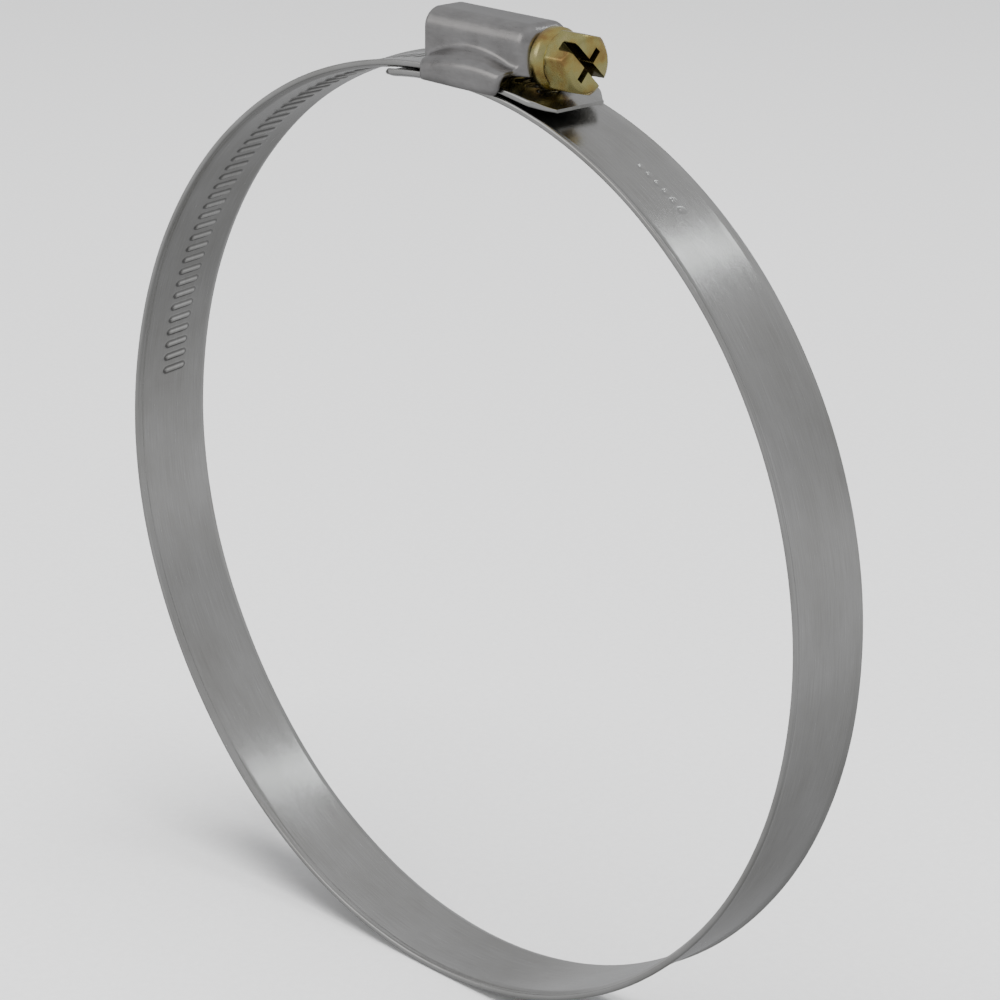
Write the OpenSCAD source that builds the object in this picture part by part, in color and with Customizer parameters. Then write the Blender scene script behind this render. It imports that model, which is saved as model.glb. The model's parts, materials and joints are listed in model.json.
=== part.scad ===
// Worm-drive hose clamp: one pressed steel band, a pressed housing and a worm screw.
// Origin at the centre of the ring, +Y along the hose, +Z through the worm, +X to the screw head.
// Angles round the ring are degrees from +Z, growing towards +X.

/* [Band] */
// Inside radius of the ring when fully open, mm
ring_r = 60; // [59:0.5:61]
// Width of the band, mm
band_w = 12; // [11.8:0.1:12]
// Thickness of the band, mm
band_t = 0.8; // [0.7:0.05:0.8]
// How far the band's edges are rolled away from the hose, mm
edge_roll = 0.35; // [0.2:0.05:0.35]
// Radial gap between the fixed layer and the toothed layer, mm
layer_gap = 0.35; // [0.33:0.01:0.36]
// Where the fixed tongue ends, left of the housing, degrees
tongue_from = -10.5; // [-11:0.5:-10]
// Where the fixed end meets the first free stretch, degrees
fixed_to = 16; // [16:1:18]
// Angle of one full stretch of the free band, degrees
stretch_turn = 30; // [28:1:30]
// Where the free band meets the toothed end, degrees
lap_at = 272.5; // [272:0.5:274]
// Length of the straight tail of the toothed end, mm
tail_len = 10; // [9.5:0.1:10]
// Length over which both band ends narrow, mm
end_taper = 3.4; // [3:0.1:3.6]

/* [Thread] */
// Distance between neighbouring grooves, and the worm's pitch, mm
pitch = 2; // [2:0.05:2.1]
// Width of one pressed groove along the band, mm
groove_w = 1.1; // [1.1:0.02:1.16]
// Length of one pressed groove across the band, mm
groove_len = 3.8; // [3.8:0.05:4]
// Depth of the pressed grooves, mm
groove_depth = 0.55; // [0.52:0.01:0.58]
// Height of the ridges that the grooves raise on the inner side, mm
ridge_h = 0.22; // [0.15:0.01:0.22]
// First groove, counted from the worm's lowest point
groove_first = -44; // [-45:1:-40]
// Last groove, counted from the worm's lowest point
groove_last = 7; // [5:1:7]

/* [Worm screw] */
// Height of the screw's axis above the ring's centre, mm
screw_z = 64.5; // [64.5:0.02:64.6]
// Outside radius of the worm, mm
worm_r = 3; // [2.9:0.02:3]
// Radius at the bottom of the worm's thread, mm
core_r = 2.25; // [2.1:0.05:2.25]
// Radius of the neck that turns in the housing's end, mm
neck_r = 1.95; // [1.8:0.05:1.95]
// Radius of the collar behind the hexagon, mm
collar_r = 3.85; // [3.7:0.05:3.85]
// Thickness of the collar, mm
collar_t = 2.2; // [2:0.1:2.4]
// Hexagon width across its flats, mm
hex_af = 7; // [6.8:0.1:7]
// Length of the hexagon, mm
hex_len = 4.2; // [4:0.1:4.4]
// Width of the driver slot, mm
slot_w = 1.2; // [1:0.05:1.3]
// Depth of the driver slot, mm
slot_depth = 2.2; // [1.8:0.1:2.4]
// Width of the cross recess's wings, mm
cross_w = 1; // [0.8:0.05:1.1]
// Reach of the cross recess from the axis, mm
cross_reach = 2.1; // [1.8:0.1:2.2]

/* [Housing] */
// Thickness of the pressed sheet, mm
sheet_t = 0.8; // [0.7:0.05:0.8]
// Outside radius of the dome over the worm, mm
dome_r = 4; // [3.95:0.05:4.1]
// Left end of the dome, mm
dome_from = -4.3; // [-4.4:0.1:-4.2]
// Right end of the dome, mm
dome_to = 13.6; // [13.5:0.05:13.7]
// Rounding of the dome's ends, mm
dome_round = 1.3; // [1.1:0.1:1.6]
// Where the saddle over the band starts, degrees
saddle_from = -2.9; // [-3:0.1:-2.8]
// Where the saddle over the band ends, degrees
saddle_to = 11.6; // [11.4:0.1:11.8]
// Half width of the saddle outside its skirts, mm
saddle_half = 7.05; // [7.05:0.05:7.2]
// How far the skirts stay clear of the hose, mm
skirt_lift = 0.55; // [0.55:0.05:0.7]

/* [Hidden] */

steel = [0.66, 0.66, 0.64];
steel_pressed = [0.60, 0.60, 0.58];
zinc_yellow = [0.76, 0.66, 0.34];

round_fn = 96;
thread_steps = 24;          // rings of thread points in one turn
hinge_gap = 0.2;            // degrees left open where two stretches of the band meet
lap_slope = 8.5;            // slope of the lap between the free band and the toothed end, degrees
lap_gap = 0.1;              // gap in that lap, mm
lap_reach = 5;              // degrees that each side of the lap runs past its middle, before cutting
edge_w = 0.8;               // width of the rolled strip at each edge of the band, mm
lug_lift = 0.55;            // how far the fixed end's lugs stay clear of the hose, mm
run_clear = 0.15;           // running gap round the neck and beside the moving band, mm
axial_play = 0.2;           // screw's end float in the housing, mm

tooth_r = ring_r + band_t + layer_gap;         // inside radius of the toothed layer
tooth_top = tooth_r + band_t;                  // its outside radius
pitch_r = tooth_top - 0.25;                    // radius at which groove pitch equals worm pitch
lead_slant = atan(pitch / (2 * PI * worm_r));  // slope of the thread and of the grooves
tail_at = 9;                                   // where the toothed end turns into its straight tail
tail_start = tail_at * PI / 180 * pitch_r;     // the same, as a length from the worm's lowest point

// The free band climbs from the inner layer to the outer one on a circle that is off centre.
climb_at = fixed_to + 7 * stretch_turn;
climb_span = lap_at - climb_at;
climb_shift = (tooth_r * tooth_r - ring_r * ring_r) / (2 * ring_r - 2 * tooth_r * cos(climb_span));
climb_r = ring_r + climb_shift;
function climb_angle(a) = a - asin(climb_shift * sin(a - climb_at) / climb_r);

thread_from = -1.8;
thread_to = dome_to - sheet_t - axial_play;
thread_crest = 0.5;
thread_foot = 0.95;
hex_from = dome_to + axial_play + collar_t;
hex_to = hex_from + hex_len;
saddle_inner = tooth_top + edge_roll + run_clear;
saddle_top = saddle_inner + sheet_t + 0.25;
wall_foot_z = 61.7;

// Section of the band: radius along x, hose axis along y, both edges rolled outwards.
module band_section(r) {
    half = band_w / 2;
    flat = half - edge_w;
    polygon([
        [r, -flat], [r + edge_roll, -half], [r + edge_roll + band_t, -half], [r + band_t, -flat],
        [r + band_t, flat], [r + edge_roll + band_t, half], [r + edge_roll, half], [r, flat]
    ]);
}

// Sweeps a section round the hose axis between two angles.
module arc(from, to) {
    rotate([90, 0, 0]) rotate([0, 0, 90 - to]) rotate_extrude(angle = to - from, $fn = round_fn) children();
}

// Plain stretch of band at one inside radius.
module band_arc(r, from, to) {
    arc(from, to) band_section(r);
}

// Outline of a band end that narrows towards +x or -x, seen along the radius.
module end_outline(tip, back, half) {
    taper = (tip > back) ? -end_taper : end_taper;
    polygon([
        [tip, -half * 0.67], [tip + taper * 0.35, -half * 0.84], [tip + taper, -half],
        [back, -half], [back, half],
        [tip + taper, half], [tip + taper * 0.35, half * 0.84], [tip, half * 0.67]
    ]);
}

// Puts children at a length along the toothed layer, on its arc or on its straight tail.
module on_track(along) {
    if (along <= tail_start)
        rotate([0, along / pitch_r * 180 / PI, 0]) children();
    else
        rotate([0, tail_at, 0]) translate([along - tail_start, 0, 0]) children();
}

// Slanted bar across the band, between two radii: a groove's cutter or a ridge.
module slant_bar(width, len, from_r, to_r) {
    rotate([0, 0, -lead_slant]) translate([-width / 2, -len / 2, from_r]) cube([width, len, to_r - from_r]);
}

// Block that lies on one side of the sloping lap plane: side 1 is outside it, side -1 inside.
module lap_block(side, gap) {
    size = 16;
    middle_r = tooth_r + (band_t + edge_roll) / 2;
    rotate([0, lap_at, 0]) translate([0, 0, middle_r]) rotate([0, lap_slope, 0])
        translate([-size, -size / 2, (side > 0) ? -gap : -size]) cube([2 * size, size, size]);
}

// Inner layer under the housing: a tongue to the left, lugs that the housing grips.
module band_fixed_end() {
    color(steel) intersection() {
        union() {
            band_arc(ring_r, tongue_from - 2, fixed_to - hinge_gap / 2);
            arc(saddle_from + 1, saddle_to - 1) translate([ring_r + lug_lift, -band_w / 2 - run_clear])
                square([band_t - lug_lift, band_w + 2 * run_clear]);
        }
        translate([0, 0, ring_r / 2]) linear_extrude(ring_r)
            end_outline(ring_r * sin(tongue_from), ring_r, band_w / 2 + run_clear);
    }
}

// Free stretches at the ring's own radius.
module band_stretch(i) {
    from = fixed_to + (i - 1) * stretch_turn;
    color(steel) band_arc(ring_r, from + hinge_gap / 2, from + stretch_turn - hinge_gap / 2);
}

// The two last stretches, on the off-centre circle that climbs to the outer layer.
module climb_arc(from, to) {
    translate([-climb_shift * sin(climb_at), 0, -climb_shift * cos(climb_at)])
        band_arc(climb_r, climb_angle(from), climb_angle(to));
}

module band_stretch_8() {
    color(steel) climb_arc(climb_at + hinge_gap / 2, climb_at + stretch_turn - hinge_gap / 2);
}

module band_stretch_9() {
    color(steel) difference() {
        climb_arc(climb_at + stretch_turn + hinge_gap / 2, lap_at + lap_reach);
        lap_block(1, lap_gap);
    }
}

// Outer layer: an arc that slides through the housing, a straight tail, and the pressed thread.
module band_toothed_end() {
    color(steel) difference() {
        union() {
            difference() {
                band_arc(tooth_r, lap_at - 360 - lap_reach, tail_at);
                lap_block(-1, 0);
            }
            rotate([0, tail_at, 0]) intersection() {
                translate([tail_len, 0, 0]) rotate([0, -90, 0])
                    linear_extrude(tail_len) band_section(tooth_r);
                translate([0, 0, tooth_r - 1])
                    linear_extrude(band_t + 2) end_outline(tail_len, -1, band_w / 2);
            }
            for (i = [groove_first:groove_last])
                on_track(i * pitch)
                    slant_bar(groove_w, groove_len - 0.4, tooth_r - ridge_h, tooth_r + band_t / 2);
        }
        for (i = [groove_first:groove_last])
            on_track(i * pitch) slant_bar(groove_w, groove_len, tooth_top - groove_depth, tooth_top + 1);
    }
}

// Half section of a body of revolution along X with rounded ends, and its plan, share one outline.
module rounded_plan(from, to, half, corner) {
    translate([from + corner, -half]) square([to - from - 2 * corner, 2 * half]);
    translate([from, corner - half]) square([to - from, 2 * (half - corner)]);
    for (x = [from + corner, to - corner], y = [corner - half, half - corner])
        translate([x, y]) circle(corner, $fn = round_fn);
}

// Dome: a rounded barrel along the screw with straight sides that drop towards the band.
module dome_form(from, to, radius, corner, foot_z) {
    translate([0, 0, screw_z]) rotate([0, 90, 0]) rotate_extrude($fn = round_fn) intersection() {
        rotate([0, 0, 90]) rounded_plan(from, to, radius, corner);
        translate([0, from]) square([radius, to - from]);
    }
    translate([0, 0, foot_z]) linear_extrude(screw_z - foot_z) rounded_plan(from, to, radius, corner);
}

// Section of the saddle: a bridge over both layers with rounded shoulders and two skirts.
module saddle_section() {
    corner = 1.6;
    lip = 0.4;
    half = saddle_half;
    foot = ring_r + skirt_lift;
    difference() {
        union() {
            translate([foot + lip, -half]) square([saddle_top - corner - foot - lip, 2 * half]);
            translate([foot, lip - half]) square([saddle_top - foot - corner, 2 * (half - lip)]);
            translate([foot + lip, corner - half])
                square([saddle_top - foot - lip, 2 * (half - corner)]);
            for (side = [-1, 1]) {
                translate([saddle_top - corner, side * (half - corner)]) circle(corner, $fn = round_fn);
                translate([foot + lip, side * (half - lip)]) circle(lip, $fn = round_fn);
            }
        }
        translate([ring_r - 1, -band_w / 2 - run_clear])
            square([saddle_inner - ring_r + 1, band_w + 2 * run_clear]);
    }
}

// Pressed housing: dome and saddle from one sheet, open below, with a bearing hole for the neck.
module worm_housing() {
    color(steel_pressed) difference() {
        union() {
            difference() {
                dome_form(dome_from, dome_to, dome_r, dome_round, wall_foot_z);
                rotate([90, 0, 0])
                    cylinder(h = 3 * band_w, r = saddle_inner, center = true, $fn = round_fn);
            }
            arc(saddle_from, saddle_to) saddle_section();
        }
        dome_form(dome_from + sheet_t, dome_to - sheet_t, dome_r - sheet_t, dome_round - sheet_t, ring_r);
        translate([dome_to - 2 * sheet_t, 0, screw_z]) rotate([0, 90, 0])
            cylinder(h = 3 * sheet_t, r = neck_r + run_clear, $fn = round_fn);
    }
}

// Right-hand helical ridge: four corners to each ring of points, run out at both ends.
module worm_thread() {
    first = thread_from + thread_foot / 2 + 0.1;
    steps = floor((thread_to - thread_foot / 2 - 0.1 - first) / pitch * thread_steps);
    foot_r = core_r - 0.3;
    rise = worm_r - foot_r;
    function fade(i) = min(1, 0.5 + i / thread_steps, 0.5 + (steps - i) / thread_steps);
    // The thread stands at its lowest point wherever x is a whole number of pitches.
    function corner(i, dx, r) =
        let (x = first + i * pitch / thread_steps, turn = x * 360 / pitch)
        [x + dx, r * sin(turn), -r * cos(turn)];
    points = [for (i = [0:steps]) for (c = [
        corner(i, -thread_foot / 2, foot_r), corner(i, -thread_crest / 2, foot_r + rise * fade(i)),
        corner(i, thread_crest / 2, foot_r + rise * fade(i)), corner(i, thread_foot / 2, foot_r)
    ]) c];
    sides = [for (i = [0:steps - 1]) for (k = [0:3]) let (n = (k + 1) % 4) each [
        [4 * i + k, 4 * i + 4 + n, 4 * i + 4 + k], [4 * i + k, 4 * i + n, 4 * i + 4 + n]
    ]];
    caps = [[3, 2, 1, 0], [4 * steps, 4 * steps + 1, 4 * steps + 2, 4 * steps + 3]];
    polyhedron(points = points, faces = concat(sides, caps), convexity = 8);
}

// Screw: worm, neck, collar and a chamfered hexagon with a slot and a cross recess.
module worm_screw() {
    chamfer = 0.5;
    color(zinc_yellow) translate([0, 0, screw_z]) difference() {
        union() {
            worm_thread();
            translate([thread_from, 0, 0]) rotate([0, 90, 0])
                cylinder(h = chamfer, r1 = core_r - chamfer, r2 = core_r, $fn = round_fn);
            translate([thread_from + chamfer, 0, 0]) rotate([0, 90, 0])
                cylinder(h = thread_to - thread_from - chamfer, r = core_r, $fn = round_fn);
            translate([thread_to, 0, 0]) rotate([0, 90, 0])
                cylinder(h = dome_to + axial_play - thread_to, r = neck_r, $fn = round_fn);
            translate([dome_to + axial_play, 0, 0]) rotate([0, 90, 0])
                cylinder(h = collar_t, r = collar_r, $fn = round_fn);
            intersection() {
                translate([hex_from, 0, 0]) rotate([0, 90, 0])
                    cylinder(h = hex_len, r = hex_af / 2 / cos(30), $fn = 6);
                translate([hex_to - 2 * hex_af, 0, 0]) rotate([0, 90, 0])
                    cylinder(h = 2 * hex_af, r1 = 4 * hex_af, r2 = hex_af / 2 - 0.05, $fn = round_fn);
            }
        }
        translate([hex_to - slot_depth, -hex_af, -slot_w / 2]) cube([slot_depth + 1, 2 * hex_af, slot_w]);
        translate([hex_to - slot_depth, -cross_w / 2, -cross_reach])
            cube([slot_depth + 1, cross_w, 2 * cross_reach]);
    }
}

worm_housing();
worm_screw();
band_fixed_end();
band_toothed_end();
band_stretch(1);  // band_stretch_1
band_stretch(2);  // band_stretch_2
band_stretch(3);  // band_stretch_3
band_stretch(4);  // band_stretch_4
band_stretch(5);  // band_stretch_5
band_stretch(6);  // band_stretch_6
band_stretch(7);  // band_stretch_7
band_stretch_8();
band_stretch_9();
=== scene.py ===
"""Worm-drive hose clamp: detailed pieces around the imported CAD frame.

Lengths below are millimetres until a mesh is made, angles are degrees round the ring from +Z,
growing towards +X, and "along" is a length on the band at the radius where it meshes with the worm.
"""

import json
import math

import bpy
import numpy as np
from mathutils import Matrix, Vector


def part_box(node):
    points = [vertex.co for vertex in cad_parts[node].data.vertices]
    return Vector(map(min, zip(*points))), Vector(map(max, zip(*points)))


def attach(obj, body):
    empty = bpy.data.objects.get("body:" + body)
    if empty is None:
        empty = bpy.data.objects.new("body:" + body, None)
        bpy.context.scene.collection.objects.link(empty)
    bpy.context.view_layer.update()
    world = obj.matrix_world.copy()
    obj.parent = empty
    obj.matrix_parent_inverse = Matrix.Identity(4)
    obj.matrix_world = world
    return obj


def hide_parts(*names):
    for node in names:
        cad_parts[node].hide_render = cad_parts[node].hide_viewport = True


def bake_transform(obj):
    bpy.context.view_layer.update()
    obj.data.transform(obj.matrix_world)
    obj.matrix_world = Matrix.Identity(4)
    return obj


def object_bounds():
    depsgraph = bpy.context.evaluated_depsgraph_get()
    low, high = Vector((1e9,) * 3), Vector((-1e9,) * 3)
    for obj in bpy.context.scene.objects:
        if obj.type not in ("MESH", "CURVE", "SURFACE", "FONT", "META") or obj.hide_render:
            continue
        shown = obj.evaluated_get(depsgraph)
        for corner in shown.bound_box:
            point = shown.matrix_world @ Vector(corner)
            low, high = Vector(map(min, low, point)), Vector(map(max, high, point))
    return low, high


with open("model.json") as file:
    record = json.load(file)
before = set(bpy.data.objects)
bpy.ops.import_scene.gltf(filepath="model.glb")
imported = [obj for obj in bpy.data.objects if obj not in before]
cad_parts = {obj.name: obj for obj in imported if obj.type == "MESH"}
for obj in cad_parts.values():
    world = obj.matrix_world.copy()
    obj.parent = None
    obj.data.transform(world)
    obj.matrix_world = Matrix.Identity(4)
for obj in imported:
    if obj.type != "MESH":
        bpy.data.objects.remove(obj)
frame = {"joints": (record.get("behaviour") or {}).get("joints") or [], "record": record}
cad_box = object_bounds()

MM = 0.001
JOINTS = {joint["name"]: joint for joint in frame["joints"]}
MOUNTS = {mount["name"]: mount for mount in frame["record"]["mounts"]}


def node_box(node):
    """Lowest and highest corner of a CAD node, in mm."""
    low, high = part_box(node)
    return np.array(low) / MM, np.array(high) / MM


# --- Sizes shared with the CAD model -----------------------------------------------------------

RING_R = MOUNTS["hose_bore"]["dims"]["r_mm"]           # inside radius of the free band
BAND_HALF = node_box("band_stretch_1")[1][1]           # half of the band's width
BAND_T = 0.8                                           # thickness of the band
EDGE_ROLL = 0.35                                       # how far its edges are rolled outwards
EDGE_W = 1.0                                           # width of each rolled edge
EDGE_ROUND = 0.24                                      # rounding of its edges, in section
ROLL_GAIN, ROLL_PAST = 1.25, 0.25                      # the roll's curve runs on past the edge
LAYER_GAP = 0.35                                       # between the two layers under the housing
TOOTH_R = RING_R + BAND_T + LAYER_GAP                  # inside radius of the toothed layer
PITCH = 2.0                                            # thread pitch
MESH_DEPTH = 0.25                                      # from the outer face down to where it meshes
PITCH_R = TOOTH_R + BAND_T - MESH_DEPTH
SCREW_Z = JOINTS["screw_turn"]["pos_m"][2] / MM
WORM_R = 3.0                                           # radius of the worm's crest
SLANT = PITCH / (2 * math.pi * WORM_R)                 # slope of the thread across the band

HINGES = [JOINTS[f"band_bend_{i}"]["pos_m"] for i in range(1, 10)]
HINGE_ANGLES = [math.degrees(math.atan2(x, z)) % 360 for x, _, z in HINGES]
STRETCH = HINGE_ANGLES[1] - HINGE_ANGLES[0]            # angle of one stretch of the band
CLIMB_AT = HINGE_ANGLES[7]                             # where the band starts to climb outwards
LAP_AT = 272.5                                         # where the band meets the toothed end
RESTART_AT = 5.0                                       # under the housing: where "along" starts again
LAP_HALF = 3.6                                         # half the length of the sloping lap, degrees
LAP_MIDDLE = (BAND_T + EDGE_ROLL) / 2                  # height at which the lap has no lean
FIXED_SHORT = 4.5                                      # from the fixed piece's end to the first bend
TAIL_AT = 9.0                                          # where the toothed end becomes straight
TAIL_LEN = 9.4                                         # length of that straight tail
TONGUE_AT = -10.6                                      # tip of the fixed tongue
END_TAPER = 3.4                                        # length over which a band end narrows
END_FLAT = 2.6                                         # length over which a band end loses its roll
END_THIN = 0.55                                        # thickness at a band end's tip, as a fraction
END_WIDTH, END_WIDEN = 0.67, 0.33                      # width at the tip, and what it grows by
TOOTH_FIRST, TOOTH_LAST = -44, 7                       # numbers of the first and last groove
TOOTH_HALF_W = 0.62                                    # half the width of one pressed groove
TOOTH_STRAIGHT = 1.3                                   # straight half length, before its round end
TOOTH_RIDGE, TOOTH_GROOVE = 0.27, 0.5                  # height inside the ring, depth outside it
TOOTH_STEPS = 14                                       # rings of points to each groove
TONGUE_STEPS, LAP_STEPS = 90, 40                       # rings of points on the other pieces
MARKED_STEPS, PLAIN_STEPS = 260, 60

MARKED_STRETCHES = (1, 2)
MARK_COUNT, MARK_FROM, MARK_STEP = 6, 28.0, 1.45       # the dimples, in degrees round the ring
MARK_ACROSS, MARK_DEPTH = 0.6, 0.12
MARK_INNER, MARK_OUTER = 0.15, 0.62                    # radius of a dimple's bottom and of its rim

HOUSING_LOW, HOUSING_HIGH = node_box("worm_housing")
SCREW_LOW, SCREW_HIGH = node_box("worm_screw")


# --- Small helpers -----------------------------------------------------------------------------

def smooth(low, high, x):
    """0 below low, 1 above high, eased between."""
    t = np.clip((x - low) / (high - low), 0.0, 1.0)
    return t * t * (3 - 2 * t)


def make_piece(name, points, faces, sharp=None):
    """A smooth-shaded object from points in mm; sharp is an edge angle in degrees to keep crisp."""
    mesh = bpy.data.meshes.new(name)
    mesh.from_pydata((np.asarray(points, float) * MM).tolist(), [], faces)
    mesh.validate()
    mesh.update()
    mesh.polygons.foreach_set("use_smooth", [True] * len(mesh.polygons))
    if sharp is not None:
        mesh.set_sharp_from_angle(angle=math.radians(sharp))
    piece = bpy.data.objects.new(name, mesh)
    bpy.context.scene.collection.objects.link(piece)
    return piece


def add_attribute(piece, name, values):
    """A float for each point, which a material can read by name."""
    layer = piece.data.attributes.new(name, "FLOAT", "POINT")
    layer.data.foreach_set("value", np.asarray(values, np.float32))


def wave(along, across):
    """Gentle unevenness of rolled strip, in mm; the same function runs through every band piece."""
    slow = math.sin(along * 0.071 + 1.3) + 0.6 * math.sin(along * 0.163 + across * 0.11 + 0.4)
    return 0.018 * slow + 0.012 * math.sin(along * 0.31 - across * 0.35 + 2.1)


# --- The band ----------------------------------------------------------------------------------

def roll_lift(across):
    """How far the band's rolled edge stands out at a distance from the band's middle."""
    return ROLL_GAIN * EDGE_ROLL * smooth(BAND_HALF - EDGE_W, BAND_HALF + ROLL_PAST, np.abs(across))


def rounded_edge(direction, level, turns):
    """Rows round one corner of the section, on the side that direction points to."""
    rows = []
    for turn in turns:
        a = math.radians(turn)
        across = direction * (BAND_HALF - EDGE_ROUND + EDGE_ROUND * math.cos(a))
        rows.append((across, level + EDGE_ROUND * math.sin(a), 0))
    return rows


def band_profile(tooth_detail):
    """Closed outline of the band's section: rows of (across, height above the inner face, side)."""
    if tooth_detail:
        middle = np.arange(-2.0, 2.01, 0.2)
        outer_part = np.array([2.6, 3.4, 4.2, 4.8, 5.1, 5.4, 5.6])
    else:
        middle = np.array([-1.8, 0.0, 1.8])
        outer_part = np.array([3.4, 4.6, 4.95, 5.15, 5.35, 5.6])
    flat_end = BAND_HALF - EDGE_ROUND
    across = np.concatenate([[-flat_end], -outer_part[::-1], middle, outer_part, [flat_end]])
    lift = roll_lift(across)
    lower, upper = lift[0] + EDGE_ROUND, lift[0] + BAND_T - EDGE_ROUND
    rows = [(a, h, -1) for a, h in zip(across, lift)]
    rows += rounded_edge(1, lower, (-60, -30, 0)) + rounded_edge(1, upper, (0, 30, 60))
    rows += [(a, h + BAND_T, 1) for a, h in zip(across[::-1], lift[::-1])]
    rows += rounded_edge(-1, upper, (60, 30, 0)) + rounded_edge(-1, lower, (0, -30, -60))
    return rows


def tooth(along, across):
    """How deep the pressed thread is at a point of the band, 0 to 1."""
    count = (along - across * SLANT) / PITCH
    nearest = round(count)
    if not TOOTH_FIRST <= nearest <= TOOTH_LAST:
        return 0.0
    off = abs(count - nearest) * PITCH / TOOTH_HALF_W
    end = max(abs(across) - TOOTH_STRAIGHT, 0.0) / TOOTH_HALF_W
    return max(1 - off * off - end * end, 0.0) ** 1.5


def free_radius(angle):
    """Inside radius of the free band: it climbs to the toothed layer on its last stretch."""
    return RING_R + (TOOTH_R - RING_R) * float(smooth(CLIMB_AT, LAP_AT, angle))


def free_point(angle, across, height):
    """A point of the inner layer or of the free band."""
    turn = math.radians(angle)
    radius = free_radius(angle) + height
    return (radius * math.sin(turn), across, radius * math.cos(turn))


def toothed_point(angle, across, height):
    """A point of the toothed layer: an arc round the ring's centre, then a straight tail."""
    turn = math.radians(min(angle, TAIL_AT))
    radius = TOOTH_R + height
    beyond = math.radians(max(0.0, angle - TAIL_AT)) * PITCH_R
    return (radius * math.sin(turn) + beyond * math.cos(turn), across,
            radius * math.cos(turn) - beyond * math.sin(turn))


def lap_lean(height, ratio, lap):
    """Degrees by which the sloping lap pulls a point back; ratio runs from the first ring to the last."""
    lean = (height - LAP_MIDDLE) / LAP_MIDDLE * LAP_HALF
    return lean * (1 - ratio) if lap == -1 else lean * ratio


def swept_faces(rings, count):
    """Quads between neighbouring rings of points, and a cap at either end."""
    faces = []
    for i in range(rings - 1):
        for k in range(count):
            n = (k + 1) % count
            faces.append((i * count + k, i * count + n, (i + 1) * count + n, (i + 1) * count + k))
    faces.append(tuple(range(count - 1, -1, -1)))
    faces.append(tuple(range((rings - 1) * count, rings * count)))
    return faces


def sweep_band(name, place, angles, tip=None, teeth=False, lap=None, marks=None):
    """Sweeps the band's section through a list of angles.

    place gives the point; tip is the angle of a band end, which narrows, flattens and thins; lap is
    -1 or 1 where the first or the last ring lies on the sloping lap; marks presses the outer face.
    """
    profile = band_profile(teeth or marks is not None)
    points, along_at, across_at, press_at = [], [], [], []
    first, last = angles[0], angles[-1]
    for angle in angles:
        to_tip = END_TAPER if tip is None else math.radians(abs(angle - tip)) * PITCH_R
        scale, roll = narrowing(to_tip), float(smooth(0.0, END_FLAT, to_tip))
        thin = END_THIN + (1 - END_THIN) * roll
        ratio = (angle - first) / (last - first)
        for across, height, side in profile:
            at = angle if lap is None else angle - lap_lean(height, ratio, lap)
            along = math.radians(at if teeth or at < RESTART_AT else at - 360) * PITCH_R
            y = across * scale
            level = height - (1 - roll) * float(roll_lift(min(abs(across), BAND_HALF - EDGE_ROUND)))
            h = BAND_T / 2 + (level - BAND_T / 2) * thin + wave(along, y)
            depth = tooth(along, y) if teeth and side else 0.0
            h -= depth * (TOOTH_GROOVE if side > 0 else TOOTH_RIDGE)
            if marks and side > 0:
                h -= marks(at, y)
            points.append(place(at, y, h))
            along_at.append(along)
            across_at.append(y)
            press_at.append(depth)
    piece = make_piece(name, points, swept_faces(len(angles), len(profile)), sharp=50)
    add_attribute(piece, "along", along_at)
    add_attribute(piece, "across", across_at)
    add_attribute(piece, "press", press_at)
    return piece


def size_marks(angle, across):
    """A generic row of round pressed dimples on the outer face, in place of a size marking."""
    depth = 0.0
    for k in range(MARK_COUNT):
        centre = MARK_FROM + MARK_STEP * k
        off = math.hypot(math.radians(angle - centre) * RING_R, across - MARK_ACROSS)
        depth = max(depth, 1 - float(smooth(MARK_INNER, MARK_OUTER, off)))
    return MARK_DEPTH * depth


def narrowing(distance):
    """Width of a band end, as a fraction, at a distance from its tip."""
    inside = min(max(distance / END_TAPER, 0.0), 1.0)
    return END_WIDTH + END_WIDEN * math.sin(inside * math.pi / 2) ** 1.2


def build_band():
    """Every piece of the band; the tongue, the lap and the toothed end ride on CAD bodies, the free
    stretches are baked in place.
    """
    pieces = []
    fixed_to = HINGE_ANGLES[0] - FIXED_SHORT
    angles = list(np.linspace(TONGUE_AT, fixed_to, TONGUE_STEPS))
    fixed = sweep_band("fixed_tongue", free_point, angles, tip=TONGUE_AT)
    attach(fixed, "housing")
    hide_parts("band_fixed_end")
    pieces.append(fixed)

    previous, start = "housing", fixed_to
    for i, hinge in enumerate(HINGE_ANGLES, 1):
        end = min(hinge + STRETCH / 2, (hinge + LAP_AT) / 2)
        marked = i in MARKED_STRETCHES
        angles = list(np.linspace(start, end, MARKED_STEPS if marked else PLAIN_STEPS))
        marks = size_marks if marked else None
        piece = sweep_band(f"free_band_{i}", free_point, angles, marks=marks)
        edge_point(start)
        edge_point(end)
        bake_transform(piece)
        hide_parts(f"band_stretch_{i}")
        pieces.append(piece)
        previous, start = f"stretch_{i}", end

    angles = list(np.linspace(start, LAP_AT, LAP_STEPS))
    last = sweep_band("free_band_lap", free_point, angles, lap=1)
    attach(last, previous)
    pieces.append(last)

    tip = TAIL_AT + math.degrees(TAIL_LEN / PITCH_R)
    step = math.degrees(PITCH / TOOTH_STEPS / PITCH_R)
    count = int((tip - LAP_AT + 360) / step)
    angles = list(np.linspace(LAP_AT - 360, tip, count))
    toothed = sweep_band("toothed_end", toothed_point, angles, tip=tip, teeth=True, lap=-1)
    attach(toothed, "toothed_end")
    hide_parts("band_toothed_end")
    pieces.append(toothed)
    return pieces


def edge_point(angle):
    """A point at mid thickness, in metres."""
    return Vector(free_point(angle, 0.0, BAND_T / 2)) * MM


# --- The housing -------------------------------------------------------------------------------

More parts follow.
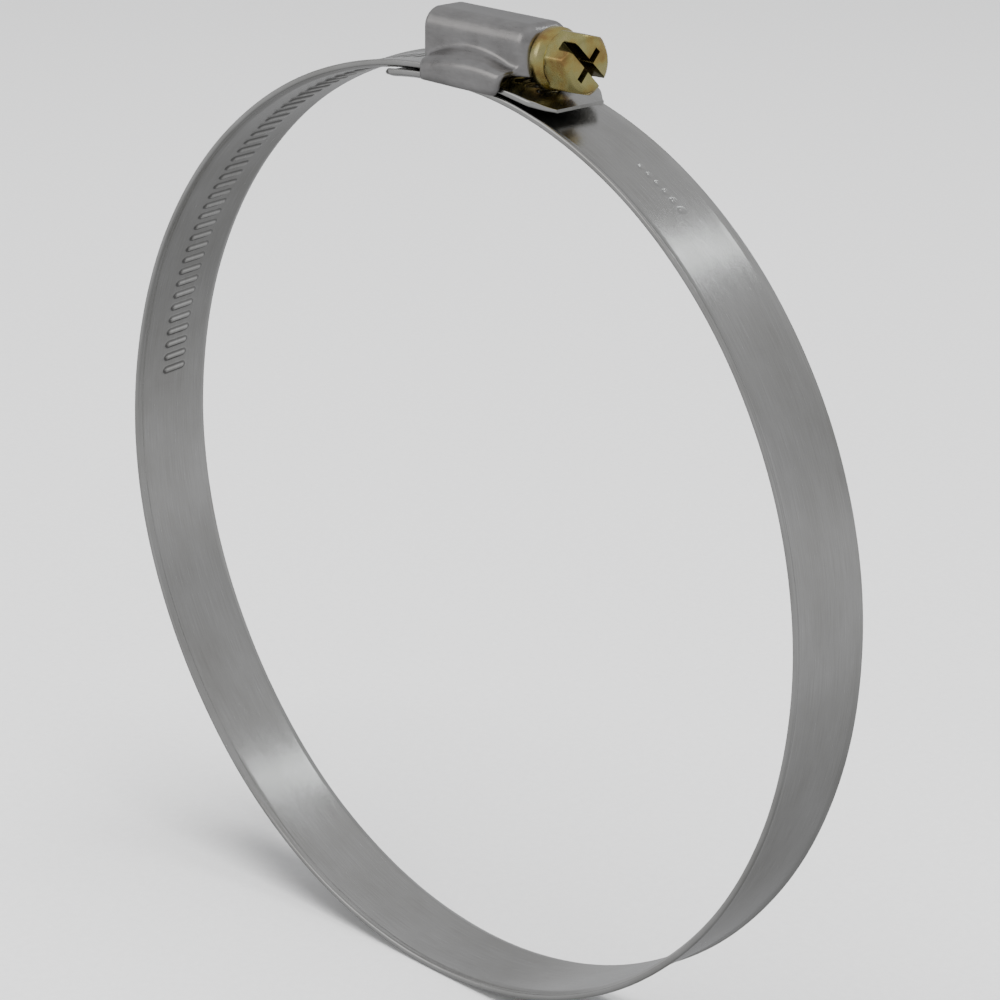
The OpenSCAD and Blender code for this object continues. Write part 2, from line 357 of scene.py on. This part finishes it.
SHEET_T = 0.8                                          # thickness of the pressed sheet
DOME_R = 4.0                                           # half its width; its height over the screw
DOME_BEND = 2.4                                        # rounding of the dome, in section
DOME_LEFT, DOME_RIGHT = 0.55, 1.6                      # rounding of its end walls
FOOT_R, FOOT_Z = 62.42, 62.0                           # where its walls stop, over the band
ROOF_Z, ROOF_FALL = 63.75, 0.6                         # the saddle's roof, and its fall to the ends
ROOF_AT, ROOF_HALF = 6.0, 6.5
ARCH_H, ARCH_AT, ARCH_HALF = 0.95, 3.6, 7.2            # the roof's arch against the dome
ARCH_FADE = (4.0, 6.4)                                 # where it fades, from the middle outwards
LIP_H, LIP_SPAN = 0.2, (11.6, 13.0)                    # lift of the roof at the head's end
SKIRT_Z, BELOW_Z = 59.78, 50.0                         # below the skirts; well below the housing
SADDLE_BEND = 1.45                                     # rounding from roof to skirt
SADDLE_TAPER, TAPER_SPAN = 0.25, (6.0, -2.0)           # how much narrower it is on the left
SADDLE_LEFT = -3.0
SADDLE_RIGHT, RIGHT_Z, RIGHT_SLOPE = 11.5, 60.7, 0.28  # its right edge leans outwards upwards
PLAN_LEFT, PLAN_RIGHT = 2.3, 0.9                       # its corners, seen from above
SIDE_MIDDLE, SIDE_HALF, SIDE_ROUND = 80.0, 20.0, 1.3   # its lower corners, seen from the side
HOLE_R, HOLE_FROM, HOLE_ROUND = 2.3, 12.0, 0.4         # the hole for the screw's neck
GRID_STEP, GRID_MARGIN = 0.15, 0.6                     # of the grid that the surface is found on
SLOPE_STEP = 0.02                                      # over which a field's slope is measured


def rounded_box(a, b, half_a, half_b, corner):
    """Signed distance in two dimensions to a box with rounded corners."""
    da, db = np.abs(a) - (half_a - corner), np.abs(b) - (half_b - corner)
    outside = np.hypot(np.maximum(da, 0), np.maximum(db, 0))
    return outside + np.minimum(np.maximum(da, db), 0) - corner


def soft_union(a, b, k):
    """Smallest of two distances, with a fillet about k wide."""
    h = np.clip(0.5 + 0.5 * (b - a) / k, 0, 1)
    return b + (a - b) * h - k * h * (1 - h)


def soft_cut(a, b, k):
    """Distance a with b taken away, its edge rounded about k wide."""
    return -soft_union(-a, b, k)


def soft_both(a, b, k):
    """Distance to what lies in both, its edge rounded about k wide."""
    return -soft_union(-a, -b, k)


def dome_field(x, y, z, inset):
    """Dome: a barrel over the screw with straight sides below its axis; inset shrinks it."""
    low, high = HOUSING_LOW[0] + inset, HOUSING_HIGH[0] - inset
    centre, half = (low + high) / 2, (high - low) / 2
    reach = DOME_R - inset
    across = rounded_box(y, np.maximum(z - SCREW_Z, 0), reach, reach, DOME_BEND - inset)
    corner = np.where(x < centre, DOME_LEFT, DOME_RIGHT) - 0.5 * inset
    return rounded_box(x - centre, across + DOME_R - inset, half, reach, corner)


def shoulder_z(x, y):
    """Height of the saddle's roof: nearly level along the band, arched up against the dome."""
    level = ROOF_Z - ROOF_FALL * ((x - ROOF_AT) / ROOF_HALF) ** 2
    arch = ARCH_H * np.clip(1 - ((x - ARCH_AT) / ARCH_HALF) ** 2, 0, 1)
    lip = LIP_H * smooth(*LIP_SPAN, x)
    return level + arch * (1 - smooth(*ARCH_FADE, np.abs(y))) + lip


def saddle_field(x, y, z, inset):
    """Saddle: a bridge over the band with two skirts; the inset one runs out at ends and below."""
    half_w = HOUSING_HIGH[1] - SADDLE_TAPER * smooth(*TAPER_SPAN, x) - inset
    top = shoulder_z(x, y) - inset
    bottom = SKIRT_Z if inset == 0 else BELOW_Z
    middle, half_h = (top + bottom) / 2, (top - bottom) / 2
    section = rounded_box(y, z - middle, half_w, half_h, SADDLE_BEND - inset)
    if inset > 0:
        return section
    right = SADDLE_RIGHT + (z - RIGHT_Z) * RIGHT_SLOPE
    centre, half = (SADDLE_LEFT + right) / 2, (right - SADDLE_LEFT) / 2
    corner = np.where(x < centre, PLAN_LEFT, PLAN_RIGHT)
    plan = rounded_box(x - centre, y, half, HOUSING_HIGH[1], corner)
    side = rounded_box(x - centre, z - SIDE_MIDDLE, half, SIDE_HALF, SIDE_ROUND)
    return soft_both(section, np.maximum(plan, side), 0.5)


def housing_field(p):
    """Signed distance to the pressed housing; p is an array of points."""
    x, y, z = p[..., 0], p[..., 1], p[..., 2]
    radius = np.hypot(x, z)
    walls = np.maximum(dome_field(x, y, z, 0.0), np.maximum(FOOT_Z - z, FOOT_R - radius))
    body = soft_union(walls, saddle_field(x, y, z, 0.0), 0.8)
    body = soft_cut(body, dome_field(x, y, z, SHEET_T), 0.15)
    body = soft_cut(body, saddle_field(x, y, z, SHEET_T), 0.2)
    neck = np.maximum(np.hypot(y, z - SCREW_Z) - HOLE_R, HOLE_FROM - x)
    return soft_cut(body, neck, HOLE_ROUND)


def sum_crossings(value, inside, shape):
    """For each cell, the sum and the number of its edges' crossings with the surface."""
    total = np.zeros((*shape, 3))
    hits = np.zeros(tuple(shape))
    corners = [(i, j, k) for i in (0, 1) for j in (0, 1) for k in (0, 1)]

    def window(array, c):
        return array[c[0]:c[0] + shape[0], c[1]:c[1] + shape[1], c[2]:c[2] + shape[2]]

    for a in corners:
        for b in corners:
            if sum(b) - sum(a) != 1 or any(q < p for p, q in zip(a, b)):
                continue
            va, vb = window(value, a), window(value, b)
            crossed = window(inside, a) != window(inside, b)
            with np.errstate(divide="ignore", invalid="ignore"):
                t = np.where(crossed, va / (va - vb), 0.0)[..., None]
            at = np.array(a) + t * (np.array(b) - np.array(a))
            total += np.where(crossed[..., None], at, 0.0)
            hits += crossed
    return total, hits


def quads_across(axis, inside, index, shape):
    """A quad round every grid edge along one axis that the surface crosses."""
    u, v = (axis + 1) % 3, (axis + 2) % 3
    edge = np.argwhere(inside != np.roll(inside, -1, axis=axis))
    ok = (edge[:, axis] < shape[axis]) & (edge[:, u] > 0) & (edge[:, v] > 0)
    ok &= (edge[:, u] < shape[u]) & (edge[:, v] < shape[v])
    edge = edge[ok]
    unit = np.eye(3, dtype=int)
    ring = [edge - unit[u] - unit[v], edge - unit[v], edge, edge - unit[u]]
    quad = np.stack([index[tuple(r.T)] for r in ring], axis=1)
    flip = ~inside[tuple(edge.T)]
    quad[flip] = quad[flip][:, ::-1]
    return quad


def surface_mesh(field, low, high, step):
    """Quads on the zero surface of a field, one point to each cell that the surface crosses."""
    axes = [np.arange(a, b + step, step) for a, b in zip(low, high)]
    value = field(np.stack(np.meshgrid(*axes, indexing="ij"), axis=-1))
    inside = value < 0
    shape = np.array(value.shape) - 1
    total, hits = sum_crossings(value, inside, shape)
    used = hits > 0
    index = np.full(tuple(shape), -1)
    index[used] = np.arange(used.sum())
    points = np.array(low) + step * (np.argwhere(used) + total[used] / hits[used][:, None])
    faces = np.concatenate([quads_across(axis, inside, index, shape) for axis in range(3)])
    for _ in range(3):
        points = points - onto_surface(field, points)
    return points, faces.tolist()


def onto_surface(field, points):
    """The step that takes each point to the zero surface of a field."""
    value = field(points)
    sides = [(field(points + SLOPE_STEP * d), field(points - SLOPE_STEP * d)) for d in np.eye(3)]
    slope = np.stack([(ahead - behind) / (2 * SLOPE_STEP) for ahead, behind in sides], axis=1)
    size = np.maximum((slope ** 2).sum(1), 0.25)
    return np.clip(value / size, -0.1, 0.1)[:, None] * slope


def build_housing():
    """The pressed housing, in one piece."""
    low, high = HOUSING_LOW - GRID_MARGIN, HOUSING_HIGH + GRID_MARGIN
    points, faces = surface_mesh(housing_field, low, high, GRID_STEP)
    housing = make_piece("pressed_housing", points, faces)
    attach(housing, "housing")
    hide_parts("worm_housing")
    return housing


# --- The screw ---------------------------------------------------------------------------------

CORE_R, NECK_R, COLLAR_R = 2.25, 1.95, 3.85
WORM_TO = 12.6                                         # where the worm's shaft steps down to the neck
COLLAR_FROM, COLLAR_T = 13.8, 2.2
HEX_AF = 7.0                                           # hexagon, across its flats
HEX_TURN = 14.0                                        # hexagon's corner above the -Y side
HEX_CLEAR = 4.2                                        # past its corners, so the flats decide
CROWN_LEN = 1.3                                        # length of its rounded end
CROWN_R, CROWN_FALL, CROWN_POWER = 4.12, 0.95, 2.2
SLOT_TURN, CROSS_TURN = 136.0, 228.0                   # the two lines of the recess
SLOT_DEPTH, CROSS_DEPTH = 2.2, 2.0
BEVEL_W = 0.05


def screw_point(x, turn, radius):
    """A point round the screw's axis; turn is degrees from straight down, towards +Y."""
    a = math.radians(turn)
    return (x, radius * math.sin(a), SCREW_Z - radius * math.cos(a))


def lathe(name, rows, around, radius_at=None, sharp=35):
    """Turns rows of (x, radius) round the screw's axis; radius_at can reshape each row."""
    points, faces = [], []
    for x, radius in rows:
        for k in range(around):
            turn = 360.0 * k / around
            points.append(screw_point(x, turn, radius_at(x, radius, turn) if radius_at else radius))
    for i in range(len(rows) - 1):
        for k in range(around):
            n = (k + 1) % around
            here, ahead = i * around, (i + 1) * around
            faces.append((here + k, ahead + k, ahead + n, here + n))
    faces.append(tuple(range(around)))
    faces.append(tuple(range(len(rows) * around - 1, (len(rows) - 1) * around - 1, -1)))
    return make_piece(name, points, faces, sharp)


def build_worm():
    """The worm: a shaft whose radius rises where the right-hand helix passes."""
    start, end = SCREW_LOW[0], WORM_TO
    tip = [(start, CORE_R - 0.7), (start + 0.12, CORE_R - 0.3)]
    shaft = [(x, CORE_R) for x in np.arange(start + 0.35, end, 0.1)]
    neck = [(end, CORE_R), (end + 0.01, NECK_R), (COLLAR_FROM + 0.1, NECK_R)]

    def radius_at(x, radius, turn):
        off = abs((x / PITCH - turn / 360.0 + 0.5) % 1.0 - 0.5) * PITCH
        run_out = smooth(start + 0.3, start + 2.0, x) * (1 - smooth(end - 2.2, end - 0.6, x))
        return radius + (WORM_R - CORE_R) * float((1 - smooth(0.24, 0.5, off)) * run_out)

    return lathe("worm", tip + shaft + neck, 72, radius_at)


def hex_radius(turn):
    """Radius of the hexagon, its corners very slightly rounded."""
    off = (turn - 90.0 + HEX_TURN) % 60.0 - 30.0
    flat = HEX_AF / 2 / math.cos(math.radians(off))
    return min(flat, HEX_AF / 2 / math.cos(math.radians(30)) - 0.06)


def build_head():
    """Collar and hexagon in one, with chamfered corners."""
    face = SCREW_HIGH[0]
    collar_to = COLLAR_FROM + COLLAR_T
    back = [(0.0, NECK_R), (0.01, COLLAR_R - 0.45), (0.12, COLLAR_R - 0.16), (0.35, COLLAR_R)]
    collar = [(COLLAR_FROM + x, radius) for x, radius in back]
    collar += [(COLLAR_FROM + 1.35, COLLAR_R), (COLLAR_FROM + 1.45, COLLAR_R - 0.04)]
    collar += [(collar_to - 0.08, COLLAR_R - 0.42), (collar_to, COLLAR_R - 0.5)]
    root = [(collar_to + 0.06, 3.5), (collar_to + 0.3, 3.6), (collar_to + 0.6, HEX_CLEAR)]
    shaft = [(x, HEX_CLEAR) for x in np.linspace(collar_to + 0.9, face - CROWN_LEN, 6)]
    crown = [(face - CROWN_LEN + CROWN_LEN * t, CROWN_R - CROWN_FALL * t ** CROWN_POWER)
             for t in np.linspace(0.1, 1.0, 12)]

    def radius_at(x, radius, turn):
        if x <= collar_to:
            return radius
        return min(radius, hex_radius(turn))

    return lathe("screw_head", collar + root + shaft + crown, 144, radius_at)


def cut(piece, cutter):
    """Takes the cutter's shape out of a piece and removes the cutter."""
    modifier = piece.modifiers.new("cut", "BOOLEAN")
    modifier.operation = "DIFFERENCE"
    modifier.solver = "EXACT"
    modifier.object = cutter
    bake_modifiers(piece)
    bpy.data.objects.remove(cutter)


def bake_modifiers(piece):
    """Replaces a piece's mesh by the result of its modifiers."""
    evaluated = piece.evaluated_get(bpy.context.evaluated_depsgraph_get())
    mesh = bpy.data.meshes.new_from_object(evaluated)
    old = piece.data
    piece.modifiers.clear()
    piece.data = mesh
    bpy.data.meshes.remove(old)


def wedge_slot(name, width_in, width_out, reach, depth, turn):
    """Cutter for one line of the recess: a bar that widens towards the end face."""
    face = SCREW_HIGH[0]
    a = math.radians(turn)
    corners = []
    for x, half in ((face - depth, width_in / 2), (face + 0.5, width_out / 2)):
        for along, side in ((-reach, -half), (reach, -half), (reach, half), (-reach, half)):
            y = along * math.cos(a) - side * math.sin(a)
            corners.append((x, y, SCREW_Z + along * math.sin(a) + side * math.cos(a)))
    faces = [(3, 2, 1, 0), (4, 5, 6, 7), (0, 1, 5, 4), (1, 2, 6, 5), (2, 3, 7, 6), (3, 0, 4, 7)]
    return make_piece(name, corners, faces)


def mark_recess(piece):
    """Marks the faces inside the slot and the cross recess, for the material to darken with painted
    shade.
    """
    lines = ((SLOT_TURN, 0.7, 9.0), (CROSS_TURN, 0.58, 2.35))
    found = []
    for face in piece.data.polygons:
        x, y, z = np.array(face.center) / MM
        inside = False
        for turn, half, reach in lines:
            a = math.radians(turn)
            along = y * math.cos(a) + (z - SCREW_Z) * math.sin(a)
            side = (z - SCREW_Z) * math.cos(a) - y * math.sin(a)
            inside = inside or (abs(side) < half and abs(along) < reach)
        deep = 0.12 < SCREW_HIGH[0] - x < SLOT_DEPTH + 0.04
        found.append(1.0 if inside and deep else 0.0)
    layer = piece.data.attributes.new("recess", "FLOAT", "FACE")
    layer.data.foreach_set("value", np.array(found, np.float32))


def build_screw():
    """Worm and head, both attached to the screw's body."""
    worm = build_worm()
    head = build_head()
    cut(head, wedge_slot("slot_cutter", 1.1, 1.3, 6.0, SLOT_DEPTH, SLOT_TURN))
    cut(head, wedge_slot("cross_cutter", 0.5, 1.0, 2.3, CROSS_DEPTH, CROSS_TURN))
    for piece in (worm, head):
        bevel = piece.modifiers.new("edge", "BEVEL")
        bevel.width = BEVEL_W * MM
        bevel.segments = 2
        bevel.limit_method = "ANGLE"
        bevel.angle_limit = math.radians(40)
        bake_modifiers(piece)
        piece.data.polygons.foreach_set("use_smooth", [True] * len(piece.data.polygons))
        piece.data.set_sharp_from_angle(angle=math.radians(45))
        mark_recess(piece)
        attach(piece, "screw")
        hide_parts("worm_screw")
    return [worm, head]


# --- Materials ---------------------------------------------------------------------------------

def fill_ramp(ramp, stops):
    """Sets a colour ramp from (position, (red, green, blue)) stops."""
    elements = ramp.color_ramp.elements
    while len(elements) < len(stops):
        elements.new(0.5)
    for element, (at, colour) in zip(elements, stops):
        element.position = at
        element.color = (*colour, 1.0)


class Nodes:
    """Short calls for building a node material."""

    def __init__(self, name):
        self.material = bpy.data.materials.new(name)
        self.material.use_nodes = True
        self.tree = self.material.node_tree
        self.tree.nodes.clear()
        self.shader = self.add("ShaderNodeBsdfPrincipled")
        out = self.add("ShaderNodeOutputMaterial")
        self.link(self.shader.outputs["BSDF"], out.inputs["Surface"])

    def add(self, kind, **values):
        node = self.tree.nodes.new(kind)
        for key, value in values.items():
            setattr(node, key, value)
        return node

    def link(self, a, b):
        self.tree.links.new(a, b)

    def math(self, operation, a, b=None, clamp=False):
        node = self.add("ShaderNodeMath", operation=operation, use_clamp=clamp)
        for socket, value in zip(node.inputs, (a, b)):
            if isinstance(value, (int, float)):
                socket.default_value = value
            elif value is not None:
                self.link(value, socket)
        return node.outputs[0]

    def attribute(self, name):
        return self.add("ShaderNodeAttribute", attribute_name=name).outputs["Fac"]

    def combine(self, x, y, z=0.0):
        node = self.add("ShaderNodeCombineXYZ")
        for socket, value in zip(node.inputs, (x, y, z)):
            if isinstance(value, (int, float)):
                socket.default_value = value
            else:
                self.link(value, socket)
        return node.outputs[0]

    def place(self):
        return self.add("ShaderNodeTexCoord").outputs["Object"]

    def scaled(self, vector, x, y, z):
        node = self.add("ShaderNodeMapping")
        node.inputs["Scale"].default_value = (x, y, z)
        self.link(vector, node.inputs["Vector"])
        return node.outputs[0]

    def noise(self, vector, scale, detail=3.0, rough=0.5):
        node = self.add("ShaderNodeTexNoise")
        node.inputs["Scale"].default_value = scale
        node.inputs["Detail"].default_value = detail
        node.inputs["Roughness"].default_value = rough
        self.link(vector, node.inputs["Vector"])
        return node.outputs["Fac"]

    def ramp(self, value, stops):
        node = self.add("ShaderNodeValToRGB")
        fill_ramp(node, stops)
        self.link(value, node.inputs["Fac"])
        return node.outputs["Color"]

    def span(self, value, low, high, to_low, to_high):
        node = self.add("ShaderNodeMapRange")
        keys = ("From Min", "From Max", "To Min", "To Max")
        for key, number in zip(keys, (low, high, to_low, to_high)):
            node.inputs[key].default_value = number
        self.link(value, node.inputs["Value"])
        return node.outputs["Result"]

    def tint(self, colour, amount):
        node = self.add("ShaderNodeVectorMath", operation="SCALE")
        self.link(colour, node.inputs["Vector"])
        self.link(amount, node.inputs["Scale"])
        return node.outputs["Vector"]

    def bump(self, height, strength, distance, under=None):
        node = self.add("ShaderNodeBump")
        node.inputs["Strength"].default_value = strength
        node.inputs["Distance"].default_value = distance
        self.link(height, node.inputs["Height"])
        if under is not None:
            self.link(under, node.inputs["Normal"])
        return node.outputs["Normal"]

    def finish(self, colour, roughness, normal, metallic=1.0):
        self.link(colour, self.shader.inputs["Base Color"])
        self.link(roughness, self.shader.inputs["Roughness"])
        self.link(normal, self.shader.inputs["Normal"])
        self.shader.inputs["Metallic"].default_value = metallic
        return self.material


def rolled_steel():
    """Stainless strip: streaks along the band, cloudy greys, fine scratches; painted tooth shade and
    highlight.
    """
    n = Nodes("rolled_steel")
    strip = n.combine(n.attribute("along"), n.attribute("across"))
    streaks = n.noise(n.scaled(strip, 0.02, 1.0, 1.0), 7.0, 5.0, 0.62)
    cloud = n.noise(n.scaled(strip, 0.06, 0.10, 1.0), 1.0, 4.0, 0.6)
    grain = n.noise(n.scaled(strip, 0.12, 1.0, 1.0), 9.0, 3.0, 0.7)
    blend = n.math("ADD", n.math("MULTIPLY", streaks, 0.45), n.math("MULTIPLY", cloud, 0.55))
    colour = n.ramp(blend, [(0.30, (0.43, 0.42, 0.40)), (0.52, (0.53, 0.525, 0.51)),
                            (0.72, (0.63, 0.625, 0.615))])
    # Painted shade on the flanks of the pressed teeth and a painted highlight along their crests, read
    # from the press depth.
    tooth_painted_shade_and_highlight = n.ramp(n.attribute("press"), [(0.0, (1.0, 1.0, 1.0)), (0.1, (0.45, 0.45, 0.45)),
                                          (0.45, (0.55, 0.55, 0.55)), (0.8, (1.25, 1.25, 1.25))])
    colour = n.tint(colour, tooth_painted_shade_and_highlight)
    mixed = n.math("ADD", n.math("MULTIPLY", streaks, 0.5), n.math("MULTIPLY", grain, 0.5))
    rough = n.span(mixed, 0.3, 0.7, 0.17, 0.29)
    normal = n.bump(streaks, 0.25, 0.00003)
    normal = n.bump(grain, 0.18, 0.00002, normal)
    return n.finish(colour, rough, normal)


def pressed_steel():
    """Pressed sheet: cloudy satin with drag marks from the die."""
    n = Nodes("pressed_steel")
    place = n.place()
    cloud = n.noise(place, 260.0, 4.0, 0.6)
    drag = n.noise(n.scaled(place, 0.25, 1.0, 1.0), 2600.0, 4.0, 0.65)
    grain = n.noise(place, 5200.0, 3.0, 0.7)
    blend = n.math("ADD", n.math("MULTIPLY", cloud, 0.65), n.math("MULTIPLY", drag, 0.35))
    colour = n.ramp(blend, [(0.32, (0.31, 0.30, 0.295)), (0.55, (0.41, 0.40, 0.395)),
                            (0.75, (0.50, 0.49, 0.485))])
    mixed = n.math("ADD", n.math("MULTIPLY", cloud, 0.5), n.math("MULTIPLY", drag, 0.5))
    rough = n.span(mixed, 0.3, 0.7, 0.24, 0.40)
    normal = n.bump(drag, 0.22, 0.00003)
    normal = n.bump(grain, 0.2, 0.00002, normal)
    return n.finish(colour, rough, normal)


def yellow_zinc():
    """Zinc plating with a thin yellow film: olive, gold and brownish patches; painted shade in the
    recess.
    """
    n = Nodes("yellow_zinc")
    place = n.place()
    patch = n.noise(place, 330.0, 3.0, 0.55)
    grain = n.noise(place, 4200.0, 4.0, 0.65)
    colour = n.ramp(patch, [(0.32, (0.40, 0.25, 0.09)), (0.45, (0.52, 0.41, 0.14)),
                            (0.57, (0.50, 0.46, 0.19)), (0.74, (0.60, 0.53, 0.26))])
    # Painted shade: faces inside the slot and cross recess are darkened to stand in for the shade there.
    shade = n.span(n.attribute("recess"), 0.0, 1.0, 1.0, 0.30)
    colour = n.tint(colour, shade)
    rough = n.span(grain, 0.3, 0.7, 0.20, 0.36)
    normal = n.bump(grain, 0.25, 0.00003)
    normal = n.bump(patch, 0.3, 0.00008, normal)
    return n.finish(colour, rough, normal)


def floor_material():
    """Pale matt studio paper."""
    n = Nodes("studio_paper")
    fibre = n.noise(n.place(), 900.0, 3.0, 0.6)
    colour = n.ramp(fibre, [(0.3, (0.86, 0.86, 0.86)), (0.7, (0.90, 0.90, 0.90))])
    rough = n.span(fibre, 0.3, 0.7, 0.8, 0.9)
    normal = n.bump(fibre, 0.05, 0.0001)
    return n.finish(colour, rough, normal, metallic=0.0)


def dress(pieces, material):
    """Gives pieces their material."""
    for piece in pieces:
        piece.data.materials.clear()
        piece.data.materials.append(material)


# --- Studio ------------------------------------------------------------------------------------

VIEW_AZIMUTH, VIEW_ELEVATION, VIEW_ROLL = 46.35, 20.3, 0.3
VIEW_DISTANCE = 405.3                                  # from the ring's centre, in mm
IMAGE_SIZE = 1000
FOCAL_PIXELS = 3132.0
CENTRE_RIGHT, CENTRE_UP = -31.8, -34.2                 # the ring's centre, in pixels off the middle
SENSOR_MM = 36.0
SKY = [(0.0, 0.30), (0.15, 0.34), (0.33, 0.52), (0.50, 0.60), (0.64, 0.44), (1.0, 0.62)]
SKY_TINT = (0.97, 0.98, 1.0)
FLOOR_HALF, FLOOR_DROP = 3.0, 0.0001                   # in metres


def view_axes():
    """Right, up and backward directions of a camera at the view's angles."""
    az, el, roll = (math.radians(a) for a in (VIEW_AZIMUTH, VIEW_ELEVATION, VIEW_ROLL))
    back = Vector((math.sin(az) * math.cos(el), -math.cos(az) * math.cos(el), math.sin(el)))
    right = Vector((math.cos(az), math.sin(az), 0.0))
    up = back.cross(right)
    rolled_right = right * math.cos(roll) + up * math.sin(roll)
    rolled_up = up * math.cos(roll) - right * math.sin(roll)
    return rolled_right, rolled_up, back


def add_camera():
    """The camera, turned slightly so that the ring's centre falls where the view wants it."""
    right, up, back = view_axes()
    aim = -back - right * (CENTRE_RIGHT / FOCAL_PIXELS) - up * (CENTRE_UP / FOCAL_PIXELS)
    new_back = -aim.normalized()
    new_right = up.cross(new_back).normalized()
    new_up = new_back.cross(new_right)
    camera = bpy.data.objects.new("camera", bpy.data.cameras.new("camera"))
    bpy.context.scene.collection.objects.link(camera)
    turn = Matrix((new_right, new_up, new_back)).transposed()
    camera.matrix_world = Matrix.Translation(back * VIEW_DISTANCE * MM) @ turn.to_4x4()
    camera.data.sensor_width = SENSOR_MM
    camera.data.lens = FOCAL_PIXELS / IMAGE_SIZE * SENSOR_MM
    camera.data.clip_start = 0.01
    bpy.context.scene.camera = camera


def add_light(name, direction, distance, width, height, power, colour=(1, 1, 1)):
    """A soft rectangular light that faces the ring's centre."""
    light = bpy.data.lights.new(name, "AREA")
    light.shape = "RECTANGLE"
    light.size, light.size_y = width, height
    light.energy = power
    light.color = colour
    lamp = bpy.data.objects.new(name, light)
    bpy.context.scene.collection.objects.link(lamp)
    away = Vector(direction).normalized()
    lamp.location = away * distance
    lamp.rotation_euler = away.to_track_quat("Z", "Y").to_euler()
    return lamp


def sky_gradient(tree):
    """World light by height: darkest from below, paler at the horizon and overhead."""
    direction = tree.nodes.new("ShaderNodeTexCoord").outputs["Generated"]
    split = tree.nodes.new("ShaderNodeSeparateXYZ")
    height = tree.nodes.new("ShaderNodeMapRange")
    height.inputs["From Min"].default_value = -1.0
    ramp = tree.nodes.new("ShaderNodeValToRGB")
    fill_ramp(ramp, [(at, tuple(part * level for part in SKY_TINT)) for at, level in SKY])
    tree.links.new(direction, split.inputs["Vector"])
    tree.links.new(split.outputs["Z"], height.inputs["Value"])
    tree.links.new(height.outputs["Result"], ramp.inputs["Fac"])
    tree.links.new(ramp.outputs["Color"], tree.nodes["Background"].inputs["Color"])


def add_studio():
    """Pale floor, soft world light and three soft boxes."""
    size = FLOOR_HALF
    level = cad_box[0].z - FLOOR_DROP
    corners = [(-size, -size), (size, -size), (size, size), (-size, size)]
    mesh = bpy.data.meshes.new("floor")
    mesh.from_pydata([(x, y, level) for x, y in corners], [], [(0, 1, 2, 3)])
    floor = bpy.data.objects.new("floor", mesh)
    bpy.context.scene.collection.objects.link(floor)
    mesh.materials.append(floor_material())
    floor.visible_glossy = False

    world = bpy.data.worlds.new("studio")
    bpy.context.scene.world = world
    world.use_nodes = True
    sky_gradient(world.node_tree)

    add_light("back_box", (0.22, 0.65, 0.73), 1.0, 0.13, 0.13, 0.22, (0.93, 0.98, 1.0))
    add_light("front_box", (-0.45, -0.80, 0.55), 1.2, 0.9, 0.7, 1.8, (1.0, 0.98, 0.96))
    floor_box = add_light("floor_box", (0.1, -0.1, 1.0), 1.3, 0.9, 0.9, 34.0)
    floor_box.visible_glossy = False


# --- Putting it together -----------------------------------------------------------------------

add_camera()
add_studio()
dress(build_band(), rolled_steel())
dress([build_housing()], pressed_steel())
dress(build_screw(), yellow_zinc())
